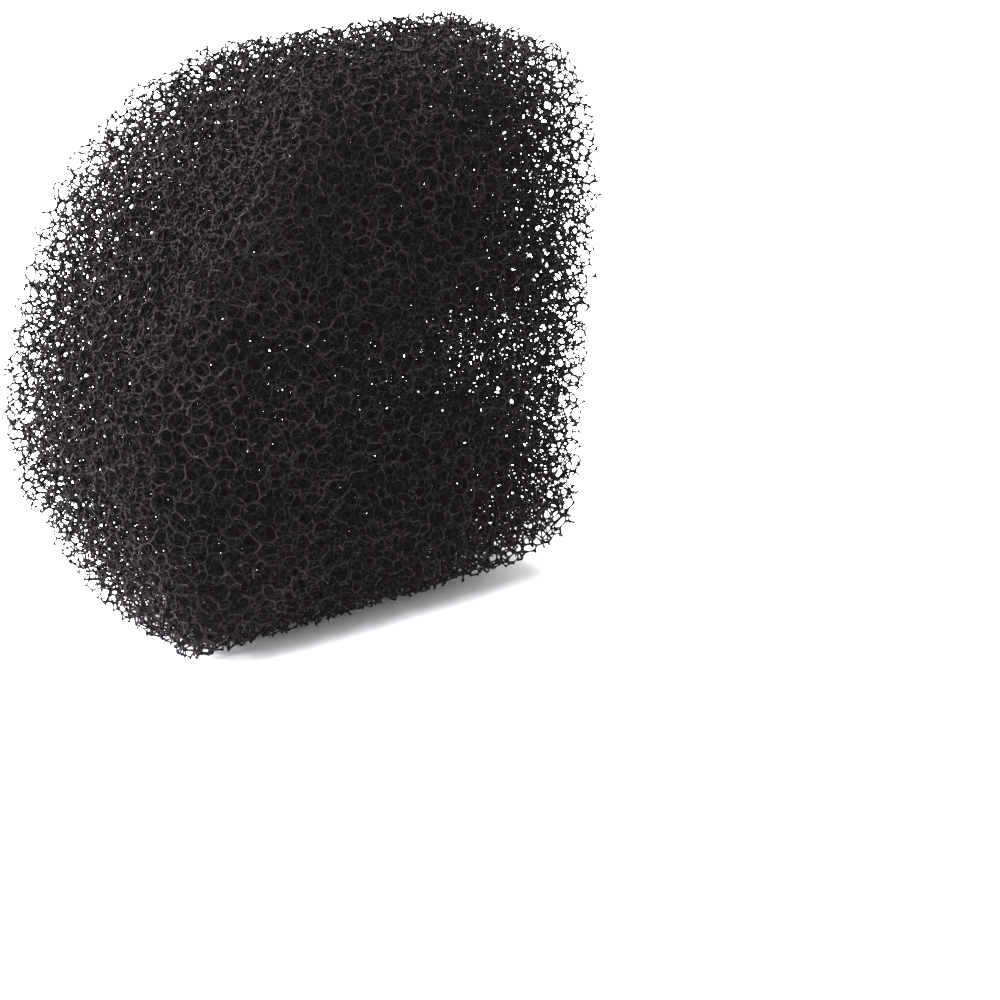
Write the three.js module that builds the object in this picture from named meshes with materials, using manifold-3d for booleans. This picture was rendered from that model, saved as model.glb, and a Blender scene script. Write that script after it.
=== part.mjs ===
// Sponge filter: one block of open-cell foam, cut to a rounded block with a blind bore in one end.
// Millimetres, +Z up. X runs along the bore, towards its mouth. Y runs from the front to the back.
// The block stands on its flat base at z = 0, centred on the origin.

import * as THREE from "three";
import { mergeVertices } from "three/addons/utils/BufferGeometryUtils.js";
import Module from "manifold-3d";

// Outer size of the block.
const LENGTH = 46.0;
const DEPTH = 27.0;
const HEIGHT = 50.0;

// Corner roundings, each as [across, up or back, fullness]. A fullness of 2 is an ellipse, less is
// closer to a straight chamfer. The block is what three rounded outlines share.
const END_VIEW = {
  frontTop: [8.5, 23.5, 2.1],
  backTop: [10.0, 24.5, 2.4],
  frontBottom: [10.0, 11.5, 2.1],
  backBottom: [9.0, 13.5, 1.2],
};
const FRONT_VIEW = {
  leftTop: [20.5, 29.5, 1.6],
  rightTop: [15.0, 2.0, 2.4],
  leftBottom: [7.0, 18.0, 1.25],
  rightBottom: [13.0, 9.0, 2.0],
};
const TOP_VIEW = {
  leftFront: [17.0, 11.5, 2.1],
  leftBack: [18.5, 2.0, 1.6],
  rightFront: [14.5, 2.0, 2.2],
  rightBack: [7.0, 5.5, 2.2],
};
const CORNER_STEPS = 14;

// The blind bore that takes the filter's intake pipe.
const BORE_RADIUS = 5.5;
const BORE_DEPTH = 30.0;
const BORE_AXIS_Y = 0.0;
const BORE_AXIS_Z = 20.0;
const BORE_SIDES = 48;

const FOAM_COLOUR = 0x1b1a1c;

const wasm = await Module();
wasm.setup();

// One rounded corner of an outline, a quarter turn about the corner's centre from its start angle.
function addCorner(outline, centreX, centreY, rounding, startAngle) {
  const [radiusX, radiusY, fullness] = rounding;
  for (let step = 0; step <= CORNER_STEPS; step += 1) {
    const angle = startAngle + (step / CORNER_STEPS) * (Math.PI / 2);
    const across = Math.sign(Math.cos(angle)) * Math.abs(Math.cos(angle)) ** (2 / fullness);
    const along = Math.sign(Math.sin(angle)) * Math.abs(Math.sin(angle)) ** (2 / fullness);
    outline.push(new THREE.Vector2(centreX + radiusX * across, centreY + radiusY * along));
  }
}

// A rectangle with four rounded corners, counter-clockwise from its lower right corner.
function roundedOutline(low, high, corners) {
  const [lowerRight, upperRight, upperLeft, lowerLeft] = corners;
  const outline = [];
  addCorner(outline, high[0] - lowerRight[0], low[1] + lowerRight[1], lowerRight, -Math.PI / 2);
  addCorner(outline, high[0] - upperRight[0], high[1] - upperRight[1], upperRight, 0);
  addCorner(outline, low[0] + upperLeft[0], high[1] - upperLeft[1], upperLeft, Math.PI / 2);
  addCorner(outline, low[0] + lowerLeft[0], low[1] + lowerLeft[1], lowerLeft, Math.PI);
  return new THREE.Shape(outline);
}

// The solid swept by an outline, centred along the sweep.
function sweep(outline, distance) {
  const geometry = new THREE.ExtrudeGeometry(outline, { depth: distance, bevelEnabled: false, steps: 1 });
  geometry.translate(0, 0, -distance / 2);
  return geometry;
}

// The block seen from its left end: Y across, Z up, swept along X.
function endViewSweep() {
  const corners = [END_VIEW.backBottom, END_VIEW.backTop, END_VIEW.frontTop, END_VIEW.frontBottom];
  const geometry = sweep(roundedOutline([-DEPTH / 2, 0], [DEPTH / 2, HEIGHT], corners), LENGTH);
  const axes = new THREE.Matrix4().makeBasis(
    new THREE.Vector3(0, 1, 0),
    new THREE.Vector3(0, 0, 1),
    new THREE.Vector3(1, 0, 0),
  );
  return geometry.applyMatrix4(axes);
}

// The block seen from the front: X across, Z up, swept along Y.
function frontViewSweep() {
  const corners = [
    FRONT_VIEW.rightBottom,
    FRONT_VIEW.rightTop,
    FRONT_VIEW.leftTop,
    FRONT_VIEW.leftBottom,
  ];
  const geometry = sweep(roundedOutline([-LENGTH / 2, 0], [LENGTH / 2, HEIGHT], corners), DEPTH);
  return geometry.rotateX(Math.PI / 2);
}

// The block seen from above: X across, Y back, swept along Z.
function topViewSweep() {
  const corners = [TOP_VIEW.rightFront, TOP_VIEW.rightBack, TOP_VIEW.leftBack, TOP_VIEW.leftFront];
  const outline = roundedOutline([-LENGTH / 2, -DEPTH / 2], [LENGTH / 2, DEPTH / 2], corners);
  return sweep(outline, HEIGHT).translate(0, 0, HEIGHT / 2);
}

// The space of the bore, run 1 mm past the mouth so that the mouth is cut clean.
function boreSpace() {
  const pastMouth = 1.0;
  const geometry = new THREE.CylinderGeometry(
    BORE_RADIUS,
    BORE_RADIUS,
    BORE_DEPTH + pastMouth,
    BORE_SIDES,
  );
  geometry.rotateZ(Math.PI / 2);
  return geometry.translate(LENGTH / 2 - BORE_DEPTH / 2 + pastMouth / 2, BORE_AXIS_Y, BORE_AXIS_Z);
}

function toSolid(geometry) {
  geometry.deleteAttribute("normal");
  geometry.deleteAttribute("uv");
  const merged = mergeVertices(geometry, 1e-5);
  const mesh = new wasm.Mesh({
    numProp: 3,
    vertProperties: new Float32Array(merged.attributes.position.array),
    triVerts: new Uint32Array(merged.index.array),
  });
  return new wasm.Manifold(mesh);
}

function toGeometry(solid) {
  const mesh = solid.getMesh();
  const geometry = new THREE.BufferGeometry();
  geometry.setAttribute("position", new THREE.BufferAttribute(mesh.vertProperties, 3));
  geometry.setIndex(new THREE.BufferAttribute(mesh.triVerts, 1));
  geometry.computeVertexNormals();
  return geometry;
}

function foamBlock() {
  const upright = toSolid(endViewSweep()).intersect(toSolid(frontViewSweep()));
  const rounded = upright.intersect(toSolid(topViewSweep()));
  const bored = rounded.subtract(toSolid(boreSpace()));
  const material = new THREE.MeshStandardMaterial({ color: FOAM_COLOUR, roughness: 0.75, metalness: 0 });
  const mesh = new THREE.Mesh(toGeometry(bored), material);
  mesh.name = "foam_block";
  return mesh;
}

const spongeFilter = new THREE.Group();
spongeFilter.name = "sponge_filter";
spongeFilter.add(foamBlock());

export default spongeFilter;
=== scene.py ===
"""Sponge filter: the looks, floor, light and camera for one block of coarse open-cell foam.

The foam is built as what it is, a net of struts. Evenly packed cells fill a box that repeats,
their shared corners become joints and their shared edges become struts, and the net is cut to
the shape of the CAD block, bore included.
"""

import math

import bpy
import numpy as np
from mathutils import Matrix, Vector
from mathutils.bvhtree import BVHTree


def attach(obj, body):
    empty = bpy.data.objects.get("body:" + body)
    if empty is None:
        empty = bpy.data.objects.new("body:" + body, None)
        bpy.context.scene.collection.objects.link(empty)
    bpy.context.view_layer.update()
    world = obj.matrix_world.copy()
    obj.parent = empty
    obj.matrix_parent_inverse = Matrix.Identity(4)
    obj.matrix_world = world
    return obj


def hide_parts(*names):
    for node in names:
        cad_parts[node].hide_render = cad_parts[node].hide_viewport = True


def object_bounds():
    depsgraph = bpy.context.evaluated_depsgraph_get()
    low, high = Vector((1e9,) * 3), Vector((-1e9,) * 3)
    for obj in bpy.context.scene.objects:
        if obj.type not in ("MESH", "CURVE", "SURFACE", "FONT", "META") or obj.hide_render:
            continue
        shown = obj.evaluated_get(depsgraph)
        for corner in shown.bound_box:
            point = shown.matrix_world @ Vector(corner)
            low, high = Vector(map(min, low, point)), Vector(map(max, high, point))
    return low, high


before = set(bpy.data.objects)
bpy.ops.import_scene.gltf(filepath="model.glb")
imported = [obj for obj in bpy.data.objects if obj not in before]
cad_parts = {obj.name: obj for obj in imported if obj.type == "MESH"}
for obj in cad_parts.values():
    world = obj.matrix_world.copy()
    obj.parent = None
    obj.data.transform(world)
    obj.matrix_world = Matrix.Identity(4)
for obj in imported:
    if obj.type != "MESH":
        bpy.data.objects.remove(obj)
cad_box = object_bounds()

MM = 0.001

FOAM_SEED = 11

# The foam's cells. The spacing is the cube root of a cell's volume.
CELL_SPACING = 1.4 * MM
CELLS_IN_TILE = 1400
PACKING_ROUNDS = 40
PACKING_PUSH = 0.22
# In cell spacings: how far off cells still push each other, and how far off corners are sought.
PACKING_REACH = 1.75
CORNER_REACH = 2.2
NEIGHBOURS_TRIED = 34
EVENING_ROUNDS = 4
EVENING_SHARE = 0.5
# A turn that keeps the repeats of the tile out of line with the block's faces.
TILE_TURN = Matrix.Rotation(0.7, 3, Vector((1, 2, 3)))

# The struts: their usual length, their radii at the joints and at the waist, and how much
# those radii vary.
STRUT_LENGTH = 0.415 * CELL_SPACING
JOINT_RADIUS = 0.235 * STRUT_LENGTH
WAIST_RADIUS = 0.12 * STRUT_LENGTH
THICKNESS_SPREAD = 0.12

# The cut faces, which are a little ragged. Stub lengths are shares of a whole strut.
CUT_DEPTH = 0.05 * CELL_SPACING
STRAY_SHARE = 0.10
STRAY_REACH = 0.6 * CELL_SPACING
SHORTEST_STUB = 0.14
LONGEST_STUB = 0.6

# The net is made in layers and columns, so that no mesh is too heavy to edit.
LAYERS = 5
COLUMNS = 4

# The foam's two colours, in soft patches with a fine grain over them.
DARK_FOAM = (0.0010, 0.0009, 0.0009, 1)
DUSTY_FOAM = (0.0050, 0.0043, 0.0046, 1)
PATCH_SCALE = 160.0
PATCH_DETAIL = 3.0
GRAIN_SCALE = 1100.0
GRAIN_DETAIL = 2.0
PATCH_SHARE = 0.4
# Where in the blended pattern the foam is dark and where it is dusty, and the range of the
# pattern over which its roughness changes.
DARK_BELOW = 0.40
DUSTY_ABOVE = 0.62
PATTERN_RANGE = (0.3, 0.7)
FOAM_ROUGHNESS = (0.35, 0.50)
FOAM_SPECULAR = 0.03
# A weak, even painted glow, emitted by the struts themselves in place of the light that scatters
# about inside the net.
PAINTED_GLOW = 0.0070
PAINTED_GLOW_COLOUR = (1.0, 0.82, 0.78, 1)

FLOOR_COLOUR = (0.92, 0.92, 0.92, 1)
FLOOR_ROUGHNESS = 0.9
FLOOR_REACH = 3.0

# The studio: a white surround, a softbox overhead and another beyond the block's left end.
SURROUND_STRENGTH = 1.3
SOFTBOXES = (
    {"name": "overhead softbox", "place": (-0.10, -0.06, 0.50), "size": 0.4, "power": 13.0},
    {"name": "left softbox", "place": (-0.45, 0.20, 0.40), "size": 0.3, "power": 55.0},
)
SOFTBOX_COLOUR = (0.95, 0.91, 1.0)

# The camera. Its angles in degrees are its turn about the block, its height and its tilt.
VIEW_ANGLES = (37.5, 19.1, 1.4)
DISTANCE = 274.6 * MM
LENS = 113.9
# How far to the side of and above the view's middle the block appears, as slopes.
OFF_CENTRE = (-0.0628, 0.0538)


def unit(vectors):
    """Each vector at length 1."""
    lengths = np.linalg.norm(vectors, axis=-1, keepdims=True)
    return vectors / np.maximum(lengths, 1e-12)


# ---- the net of cells ----


def packed_points(count, random):
    """Points in a repeating unit cube, pushed apart until they are evenly spread."""
    points = random.random((count, 3)).astype(np.float32)
    reach = PACKING_REACH / count ** (1 / 3)
    for _ in range(PACKING_ROUNDS):
        gap = points[:, None, :] - points[None, :, :]
        gap -= np.round(gap)
        far = np.sqrt((gap**2).sum(-1)) + 1e-9
        push = np.where(far < reach, (1 - far / reach), 0) / far
        np.fill_diagonal(push, 0)
        move = (gap * push[..., None]).sum(1)
        points = (points + PACKING_PUSH * reach * move) % 1.0
    return points.astype(float)


def cell_corners(points):
    """Where four cells meet: each corner's place, its four cells and the cube each cell is in."""
    count = len(points)
    found = []
    picks = range(NEIGHBOURS_TRIED)
    triples = np.array([(a, b, c) for a in picks for b in picks for c in picks if a < b < c])
    reach = (CORNER_REACH / count ** (1 / 3)) ** 2
    for cell in range(count):
        gap = points - points[cell]
        cube = -np.round(gap)
        beside = gap + cube
        squared = (beside**2).sum(1)
        near = np.argpartition(squared, NEIGHBOURS_TRIED + 1)[: NEIGHBOURS_TRIED + 1]
        near = near[near != cell]
        normal = beside[near]
        half = squared[near] / 2
        a, b, c = (normal[triples[:, k]] for k in range(3))
        bc, ca, ab = np.cross(b, c), np.cross(c, a), np.cross(a, b)
        volume = (a * bc).sum(1)
        solid = np.abs(volume) > 1e-12
        half_a, half_b, half_c = (half[triples[:, k], None] for k in range(3))
        corner = half_a * bc + half_b * ca + half_c * ab
        corner /= np.where(solid, volume, 1)[:, None]
        solid &= (corner**2).sum(1) < reach
        kept = np.nonzero(solid)[0]
        kept = kept[(corner[kept] @ normal.T <= half + 1e-9).all(1)]
        others = near[triples[kept]]
        first = (others > cell).all(1)
        kept, others = kept[first], others[first]
        cells = np.concatenate([np.full((len(kept), 1), cell), others], 1)
        cubes = np.concatenate([np.zeros((len(kept), 1, 3), int), cube[others].astype(int)], 1)
        found.append((corner[kept] + points[cell], cells, cubes))
    return [np.concatenate([part[k] for part in found]) for k in range(3)]


def shared_key(cell, cube):
    """One number for three cells and the steps between their cubes, the same at both ends."""
    most_cells = 4096
    steps = 5
    key = cell[:, 0].astype(np.int64)
    for part in (cell[:, 1], cell[:, 2]):
        key = key * most_cells + part
    middle = steps // 2
    for part in (*(cube[:, 1] - cube[:, 0] + middle).T, *(cube[:, 2] - cube[:, 0] + middle).T):
        key = key * steps + part
    return key


def struts_between(cells, cubes):
    """The struts that join corners with three cells in common.

    Each strut gives its two corners, the cube step between them, and for each end the cell that
    it leaves out and its own three cells in an order that both ends share.
    """
    keys, corners, bases, left_out, orders = [], [], [], [], []
    for out in range(4):
        own = np.array([k for k in range(4) if k != out])
        order = own[np.argsort(cells[:, own], 1)]
        cell = np.take_along_axis(cells, order, 1)
        cube = np.take_along_axis(cubes, order[..., None], 1)
        keys.append(shared_key(cell, cube))
        corners.append(np.arange(len(cells)))
        bases.append(cube[:, 0])
        left_out.append(np.full(len(cells), out))
        orders.append(order)
    key = np.concatenate(keys)
    line_up = np.argsort(key, kind="stable")
    key = key[line_up]
    corner = np.concatenate(corners)[line_up]
    base = np.concatenate(bases)[line_up]
    out = np.concatenate(left_out)[line_up]
    order = np.concatenate(orders)[line_up]
    first = np.nonzero(key[1:] == key[:-1])[0]
    second = first + 1
    return {
        "ends": np.stack([corner[first], corner[second]], 1),
        "step": base[first] - base[second],
        "port": np.stack([out[first], out[second]], 1),
        "order": np.stack([order[first], order[second]], 1),
    }


def evened_out(places, struts):
    """The corners, each drawn towards the middle of its neighbours."""
    start, end = struts["ends"].T
    joined = np.bincount(struts["ends"].ravel(), minlength=len(places))
    for _ in range(EVENING_ROUNDS):
        gap = places[end] + struts["step"] - places[start]
        total = np.zeros_like(places)
        np.add.at(total, start, gap)
        np.add.at(total, end, -gap)
        places = places + EVENING_SHARE * total / np.maximum(joined, 1)[:, None]
    return places


def strut_directions(places, struts):
    """Each corner's four strut directions, by the cell that the strut leaves out."""
    start, end = struts["ends"].T
    way = unit(places[end] + struts["step"] - places[start])
    directions = np.zeros((len(places), 4, 3))
    directions[start, struts["port"][:, 0]] = way
    directions[end, struts["port"][:, 1]] = -way
    missing = (directions == 0).all(-1)
    away = -unit(directions.sum(1))
    directions[missing] = np.repeat(away, missing.sum(1), 0)
    return directions


# ---- the block cut from it ----


def block_depth(points):
    """How far each point is outside the CAD block, below zero where it is inside."""
    node = bpy.data.objects["foam_block"]
    matrix = node.matrix_world
    vertices = [matrix @ v.co for v in node.data.vertices]
    faces = [tuple(face.vertices) for face in node.data.polygons]
    tree = BVHTree.FromPolygons(vertices, faces)
    depths = np.empty(len(points))
    for k, point in enumerate(points):
        spot = Vector(point)
        nearest, normal, _, distance = tree.find_nearest(spot)
        depths[k] = distance if (spot - nearest).dot(normal) > 0 else -distance
    return depths


def tiled_net(places, struts, directions, low, high):
    """The net repeated until it fills the box from low to high."""
    side = CELL_SPACING * CELLS_IN_TILE ** (1 / 3)
    turn = np.array(TILE_TURN)
    middle = (low + high) / 2
    corners = np.array([[x, y, z] for x in (0, 1) for y in (0, 1) for z in (0, 1)])
    reach = (low + corners * (high - low) - middle) @ turn / side
    first = np.floor(reach.min(0)).astype(int) - 1
    counts = np.ceil(reach.max(0)).astype(int) + 1 - first
    tiles = np.stack(np.meshgrid(*[np.arange(n) for n in counts], indexing="ij"), -1)
    tiles = tiles.reshape(-1, 3)
    spots = (tiles[:, None, :] + first + places[None]).reshape(-1, 3) * side @ turn.T + middle
    beyond = tiles[:, None, :] + struts["step"][None]
    there = ((beyond >= 0) & (beyond < counts)).all(-1)
    tile_there = (beyond[..., 0] * counts[1] + beyond[..., 1]) * counts[2] + beyond[..., 2]
    start, end = struts["ends"].T
    per_tile = len(places)
    start = np.arange(len(tiles))[:, None] * per_tile + start[None]
    end = tile_there * per_tile + end[None]
    which = np.broadcast_to(np.arange(len(struts["step"])), there.shape)
    turned = directions @ turn.T
    return {
        "spots": spots,
        "ends": np.stack([start[there], end[there]], 1),
        "port": struts["port"][which[there]],
        "order": struts["order"][which[there]],
        "directions": np.tile(turned, (len(tiles), 1, 1)),
    }


def joined_up(kept, ends, spots, middle):
    """The kept corners that struts join to the one nearest the middle, so nothing floats."""
    start, end = ends[kept[ends].all(1)].T
    reached = np.zeros(len(kept), bool)
    away = np.where(kept, ((spots - middle) ** 2).sum(1), np.inf)
    reached[np.argmin(away)] = True
    while True:
        edge = reached[start] != reached[end]
        if not edge.any():
            return reached
        reached[start[edge]] = True
        reached[end[edge]] = True


def cut_to_block(net, low, high, random):
    """The net inside the block, with a few stray corners left just outside the cut."""
    spots = net["spots"]
    margin = CELL_SPACING
    near = ((spots > low - margin) & (spots < high + margin)).all(1)
    depth = np.full(len(spots), 1.0)
    depth[near] = block_depth(spots[near])
    start, end = net["ends"].T
    inside = depth < -CUT_DEPTH
    held = np.zeros(len(spots), bool)
    held[start[inside[end]]] = True
    held[end[inside[start]]] = True
    stray = random.random(len(spots)) < STRAY_SHARE
    reach = np.where(stray, STRAY_REACH * random.random(len(spots)), 0)
    above_floor = spots[:, 2] > low[2] + JOINT_RADIUS
    kept = (inside | (held & (depth < reach))) & above_floor
    kept = joined_up(kept, net["ends"], spots, (low + high) / 2)
    touched = kept[start] | kept[end]
    cut = {name: net[name][touched] for name in ("ends", "port", "order")}
    return {**net, **cut, "kept": kept, "floor": low[2]}


def numbered(mask):
    """New numbers for what the mask keeps, and -1 for the rest."""
    numbers = np.full(len(mask), -1)
    numbers[mask] = np.arange(mask.sum())
    return numbers


PAIRS = np.array([(0, 1), (0, 2), (0, 3), (1, 2), (1, 3), (2, 3)])
PAIR_NUMBER = np.full((4, 4), -1)
for number, (one, other) in enumerate(PAIRS):
    PAIR_NUMBER[one, other] = number
    PAIR_NUMBER[other, one] = number


def across(vectors, way):
    """What is left of each vector at right angles to its way, at length 1."""
    return unit(vectors - (vectors * way).sum(-1, keepdims=True) * way)


def sleeve(ring_a, ring_b):
    """The six triangles between two three-cornered rings."""
    faces = []
    for k in range(3):
        n = (k + 1) % 3
        faces.append(np.stack([ring_a[:, k], ring_a[:, n], ring_b[:, n]], 1))
        faces.append(np.stack([ring_a[:, k], ring_b[:, n], ring_b[:, k]], 1))
    return np.stack(faces, 1)


def facing(faces, flipped):
    """The triangles, turned over where flipped says so."""
    turned = faces[..., ::-1]
    shape = (len(faces),) + (1,) * (faces.ndim - 1)
    return np.where(flipped.reshape(shape), turned, faces).reshape(-1, 3)


def lobes_around(net, chosen):
    """The points around each chosen joint, one between each two of its four struts."""
    ways = net["directions"][chosen]
    between = unit(ways[:, PAIRS[:, 0]] + ways[:, PAIRS[:, 1]])
    radius = JOINT_RADIUS * net["joint_scale"][chosen]
    return net["spots"][chosen][:, None] + between * radius[:, None, None]


def joint_faces(lobes, ways):
    """The four triangles between the struts of each joint."""
    faces = []
    for cell in range(4):
        a, b, c = (k for k in range(4) if k != cell)
        trio = np.array([PAIR_NUMBER[a, b], PAIR_NUMBER[b, c], PAIR_NUMBER[a, c]])
        corner = lobes[:, trio]
        normal = np.cross(corner[:, 1] - corner[:, 0], corner[:, 2] - corner[:, 0])
        inward = (normal * ways[:, cell]).sum(1) > 0
        triangle = np.arange(len(lobes))[:, None] * len(PAIRS) + trio
        faces.append(facing(triangle, inward))
    return np.concatenate(faces)


def ring_at(joints, corner, port, order):
    """The numbers of the three lobes around a strut's end, and where they are from the joint."""
    lobe = PAIR_NUMBER[port[:, None], order]
    spots = joints["lobes"][corner[:, None], lobe] - joints["places"][corner][:, None]
    return corner[:, None] * len(PAIRS) + lobe, spots


def turned_over(around, way):
    """Whether each ring runs clockwise as seen along its strut."""
    return (np.cross(around[:, 0], around[:, 1]) * way).sum(1) < 0


def ring_points(middle, around, scale):
    """The three points of each thin ring around a strut."""
    radius = WAIST_RADIUS * scale
    return (middle[:, None] + around * radius[:, None, None]).reshape(-1, 3)


def whole_struts(net, joints, first_number):
    """The waist rings and faces of the struts that have both ends here."""
    start, end = net["ends"].T
    both = joints["chosen"][start] & joints["chosen"][end]
    u, v = joints["number"][start[both]], joints["number"][end[both]]
    port, order = net["port"][both], net["order"][both]
    ring_u, around_u = ring_at(joints, u, port[:, 0], order[:, 0])
    ring_v, around_v = ring_at(joints, v, port[:, 1], order[:, 1])
    places = joints["places"]
    way = unit(places[v] - places[u])
    around = across(around_u + around_v, way[:, None])
    middle = (places[u] + places[v]) / 2
    points = ring_points(middle, around, net["strut_scale"][both])
    ring = first_number + np.arange(3 * len(u)).reshape(-1, 3)
    flipped = turned_over(around, way)
    faces = [facing(sleeve(ring_u, ring), flipped), facing(sleeve(ring, ring_v), flipped)]
    return points, np.concatenate(faces)


def half_struts(net, joints, side, first_number):
    """The end rings and faces of the struts that are cut, or go on in the next piece."""
    here, there = net["ends"].T if side == 0 else net["ends"].T[::-1]
    single = joints["chosen"][here] & ~joints["chosen"][there]
    single &= net["kept"][there] | net["stubbed"]
    u = joints["number"][here[single]]
    place = joints["places"][u]
    target = net["spots"][there[single]]
    share = np.where(net["kept"][there[single]], 0.5, net["stub_share"][single])
    ring_u, around_u = ring_at(joints, u, net["port"][single, side], net["order"][single, side])
    way = unit(target - place)
    around = across(around_u, way[:, None])
    scale = net["strut_scale"][single]
    tip = place + (target - place) * share[:, None]
    tip[:, 2] = np.maximum(tip[:, 2], net["floor"] + WAIST_RADIUS * scale)
    ring = first_number + np.arange(3 * len(u)).reshape(-1, 3)
    flipped = turned_over(around, way)
    faces = [facing(sleeve(ring_u, ring), flipped), facing(ring, flipped)]
    return ring_points(tip, around, scale), np.concatenate(faces)


def closed_ports(net, joints, ways):
    """The triangles that close each joint where a strut was cut off short."""
    ported = np.zeros((len(ways), 4), bool)
    for side in (0, 1):
        here, there = net["ends"].T if side == 0 else net["ends"].T[::-1]
        mine = joints["chosen"][here] & (net["kept"][there] | net["stubbed"])
        ported[joints["number"][here[mine]], net["port"][mine, side]] = True
    corner, port = np.nonzero(~ported)
    order = np.array([[k for k in range(4) if k != out] for out in range(4)])[port]
    ring, around = ring_at(joints, corner, port, order)
    return facing(ring, turned_over(around, ways[corner, port]))


def net_mesh(net, chosen):
    """The vertices and triangles of the joints chosen and of their struts."""
    lobes = lobes_around(net, chosen)
    joints = {
        "chosen": chosen,
        "number": numbered(chosen),
        "places": net["spots"][chosen],
        "lobes": lobes,
    }
    ways = net["directions"][chosen]
    made = lobes.reshape(-1, 3)
    middles, whole = whole_struts(net, joints, len(made))
    made = np.concatenate([made, middles])
    tips, halves = half_struts(net, joints, 0, len(made))
    made = np.concatenate([made, tips])
    other_tips, other_halves = half_struts(net, joints, 1, len(made))
    made = np.concatenate([made, other_tips])
    closed = closed_ports(net, joints, ways)
    faces = [joint_faces(lobes, ways), whole, halves, other_halves, closed]
    return made, np.concatenate(faces)


# ---- the pieces ----


def plan_of(vertices):
    """Where each vertex is on a flat plan: as seen from the front, slid aside by its depth."""
    face_share, depth_share = 0.7, 0.29
    low, high = vertices.min(0), vertices.max(0)
    x, y, z = ((vertices - low) / (high - low).max()).T
    return np.stack([face_share * x + depth_share * y, face_share * z + depth_share * y], 1)


def mesh_piece(name, vertices, faces, material):
    """One mesh object, smooth shaded, with a plan of its surface for baked looks."""
    mesh = bpy.data.meshes.new(name)
    mesh.vertices.add(len(vertices))
    mesh.vertices.foreach_set("co", vertices.astype(np.float32).ravel())
    mesh.loops.add(faces.size)
    mesh.loops.foreach_set("vertex_index", faces.astype(np.int32).ravel())
    mesh.polygons.add(len(faces))
    mesh.polygons.foreach_set("loop_start", np.arange(0, faces.size, 3, dtype=np.int32))
    mesh.polygons.foreach_set("loop_total", np.full(len(faces), 3, np.int32))
    mesh.polygons.foreach_set("use_smooth", np.ones(len(faces), bool))
    layer = mesh.uv_layers.new(name="OFBake")
    layer.data.foreach_set("uv", plan_of(vertices)[faces.ravel()].astype(np.float32).ravel())
    mesh.update()
    mesh.materials.append(material)
    piece = bpy.data.objects.new(name, mesh)
    bpy.context.collection.objects.link(piece)
    return piece


def noise(nodes, links, scale, detail):
    """A noise pattern fixed to the object."""
    place = nodes.new("ShaderNodeTexCoord")
    pattern = nodes.new("ShaderNodeTexNoise")
    pattern.inputs["Scale"].default_value = scale
    pattern.inputs["Detail"].default_value = detail
    links.new(place.outputs["Object"], pattern.inputs["Vector"])
    return pattern.outputs["Fac"]


def blended(nodes, links, one, other, share):
    """One pattern and the other, in the shares share and 1 - share."""
    scaled = nodes.new("ShaderNodeMath")
    scaled.operation = "MULTIPLY"
    scaled.inputs[1].default_value = 1 - share
    links.new(other, scaled.inputs[0])
    total = nodes.new("ShaderNodeMath")
    total.operation = "MULTIPLY_ADD"
    total.inputs[1].default_value = share
    links.new(one, total.inputs[0])
    links.new(scaled.outputs[0], total.inputs[2])
    return total.outputs[0]


def foam_material():
    """Charcoal polyurethane with a satin skin, dustier in patches."""
    material = bpy.data.materials.new("reticulated foam")
    material.use_nodes = True
    nodes, links = material.node_tree.nodes, material.node_tree.links
    shader = nodes["Principled BSDF"]
    patches = noise(nodes, links, PATCH_SCALE, PATCH_DETAIL)
    grain = noise(nodes, links, GRAIN_SCALE, GRAIN_DETAIL)
    pattern = blended(nodes, links, patches, grain, PATCH_SHARE)
    colours = nodes.new("ShaderNodeValToRGB")
    dark, dusty = colours.color_ramp.elements
    dark.position, dark.color = DARK_BELOW, DARK_FOAM
    dusty.position, dusty.color = DUSTY_ABOVE, DUSTY_FOAM
    links.new(pattern, colours.inputs["Fac"])
    links.new(colours.outputs["Color"], shader.inputs["Base Color"])
    skin = nodes.new("ShaderNodeMapRange")
    skin.inputs["From Min"].default_value = PATTERN_RANGE[0]
    skin.inputs["From Max"].default_value = PATTERN_RANGE[1]
    skin.inputs["To Min"].default_value = FOAM_ROUGHNESS[0]
    skin.inputs["To Max"].default_value = FOAM_ROUGHNESS[1]
    links.new(pattern, skin.inputs["Value"])
    links.new(skin.outputs["Result"], shader.inputs["Roughness"])
    shader.inputs["Specular IOR Level"].default_value = FOAM_SPECULAR
    # The painted glow: a weak emission from every strut, in place of the light scattered inside
    # the net.
    shader.inputs["Emission Color"].default_value = PAINTED_GLOW_COLOUR
    shader.inputs["Emission Strength"].default_value = PAINTED_GLOW
    return material


def spread(count, random):
    """How much thicker or thinner than usual each of so many struts or joints is."""
    return 1 + THICKNESS_SPREAD * random.standard_normal(count).clip(-2, 2)


def foam_net(random):
    """The net of joints and struts that is left of the cells inside the block."""
    low, high = (np.array(corner) for corner in cad_box)
    places, cells, cubes = cell_corners(packed_points(CELLS_IN_TILE, random))
    struts = struts_between(cells, cubes)
    places = evened_out(places, struts)
    net = tiled_net(places, struts, strut_directions(places, struts), low, high)
    net = cut_to_block(net, low, high, random)
    net["joint_scale"] = spread(len(net["spots"]), random)
    net["strut_scale"] = spread(len(net["ends"]), random)
    net["stub_share"] = LONGEST_STUB * random.random(len(net["ends"])) ** 2
    net["stubbed"] = net["stub_share"] > SHORTEST_STUB
    return net


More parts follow.
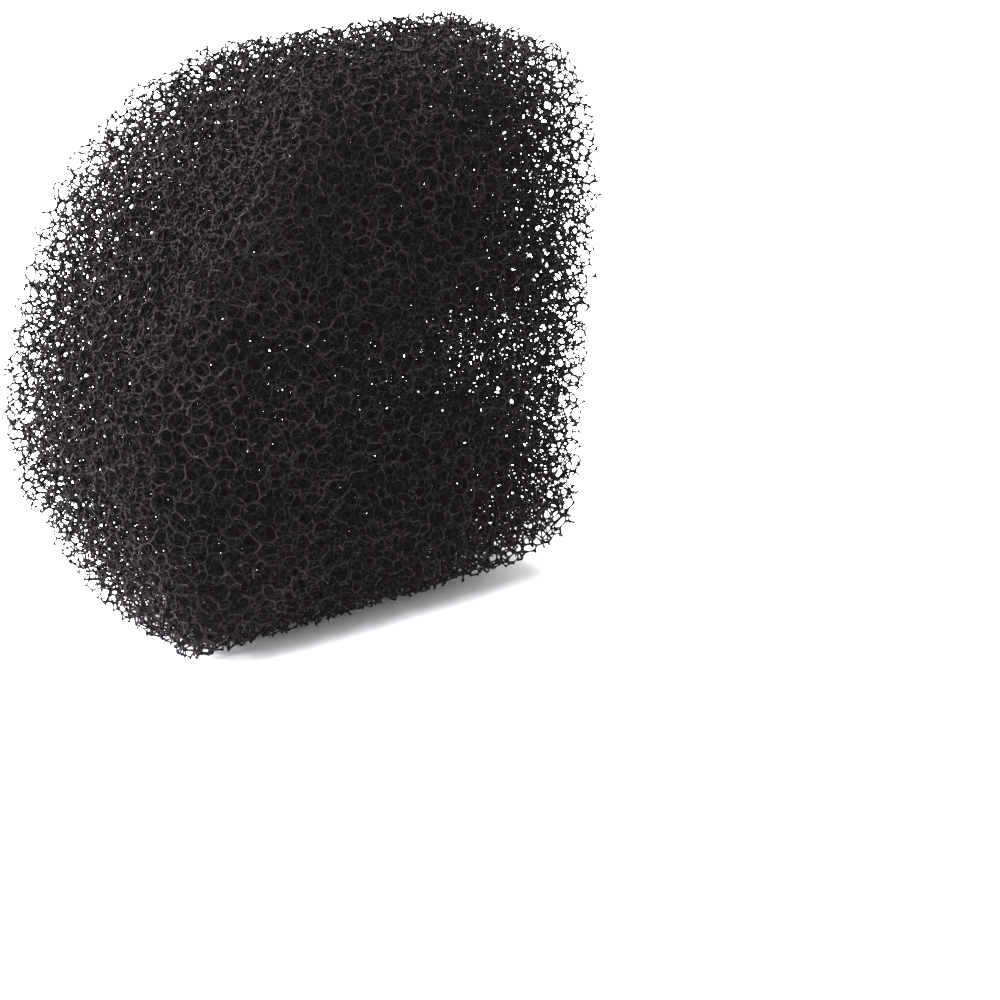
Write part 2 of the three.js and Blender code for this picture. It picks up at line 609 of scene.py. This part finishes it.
def build_foam():
    """The whole foam block, as layers and columns of the net."""
    net = foam_net(np.random.default_rng(FOAM_SEED))
    material = foam_material()
    spots = net["spots"]
    kept = np.nonzero(net["kept"])[0]
    by_height = kept[np.argsort(spots[kept, 2], kind="stable")]
    for layer, in_layer in enumerate(np.array_split(by_height, LAYERS), 1):
        by_length = in_layer[np.argsort(spots[in_layer, 0], kind="stable")]
        for column, group in enumerate(np.array_split(by_length, COLUMNS), 1):
            chosen = np.zeros(len(spots), bool)
            chosen[group] = True
            vertices, faces = net_mesh(net, chosen)
            name = f"foam_layer_{layer}_column_{column}"
            piece = mesh_piece(name, vertices, faces, material)
            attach(piece, "root")
            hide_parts("foam_block")


build_foam()


# ---- floor, light and camera ----


def add_floor():
    """A wide plain pale floor."""
    material = bpy.data.materials.new("floor")
    material.use_nodes = True
    shader = material.node_tree.nodes["Principled BSDF"]
    shader.inputs["Base Color"].default_value = FLOOR_COLOUR
    shader.inputs["Roughness"].default_value = FLOOR_ROUGHNESS
    mesh = bpy.data.meshes.new("floor")
    reach = FLOOR_REACH
    corners = [(-reach, -reach, 0), (reach, -reach, 0), (reach, reach, 0), (-reach, reach, 0)]
    mesh.from_pydata(corners, [], [(0, 1, 2, 3)])
    mesh.materials.append(material)
    floor = bpy.data.objects.new("floor", mesh)
    bpy.context.collection.objects.link(floor)


def add_surround():
    """An even white surround."""
    world = bpy.data.worlds.new("studio")
    world.use_nodes = True
    background = world.node_tree.nodes["Background"]
    background.inputs["Color"].default_value = (1, 1, 1, 1)
    background.inputs["Strength"].default_value = SURROUND_STRENGTH
    bpy.context.scene.world = world


def add_softbox(name, place, size, power):
    """A large soft light, aimed at the middle of the block."""
    light = bpy.data.lights.new(name, "AREA")
    light.size = size
    light.energy = power
    light.color = SOFTBOX_COLOUR
    lamp = bpy.data.objects.new(name, light)
    aim = (Vector(cad_box[0]) + Vector(cad_box[1])) / 2
    lamp.location = place
    lamp.rotation_euler = (aim - lamp.location).to_track_quat("-Z", "Y").to_euler()
    bpy.context.collection.objects.link(lamp)


def camera_axes():
    """The way from the camera to the block, and the right and the up that go with it."""
    turn, height, tilt = (math.radians(angle) for angle in VIEW_ANGLES)
    ahead = Vector(
        (
            math.sin(turn) * math.cos(height),
            math.cos(turn) * math.cos(height),
            -math.sin(height),
        )
    )
    right = Vector((math.cos(turn), -math.sin(turn), 0))
    up = right.cross(ahead)
    tilted_right = right * math.cos(tilt) + up * math.sin(tilt)
    tilted_up = up * math.cos(tilt) - right * math.sin(tilt)
    return ahead, tilted_right, tilted_up


def add_camera():
    """The camera, a little above the block and to the left of its front."""
    middle = (Vector(cad_box[0]) + Vector(cad_box[1])) / 2
    ahead, right, up = camera_axes()
    aside, above = OFF_CENTRE
    gaze = (ahead - right * aside - up * above).normalized()
    level = (right - gaze * right.dot(gaze)).normalized()
    rise = level.cross(gaze)
    lens = bpy.data.cameras.new("camera")
    lens.sensor_width = 36.0
    lens.lens = LENS
    lens.clip_start = 0.01
    lens.clip_end = 20.0
    camera = bpy.data.objects.new("camera", lens)
    turned = Matrix((level, rise, -gaze)).transposed().to_4x4()
    camera.matrix_world = Matrix.Translation(middle - ahead * DISTANCE) @ turned
    bpy.context.collection.objects.link(camera)
    bpy.context.scene.camera = camera


add_floor()
add_surround()
for softbox in SOFTBOXES:
    add_softbox(**softbox)
add_camera()
bpy.context.scene.view_settings.view_transform = "Standard"
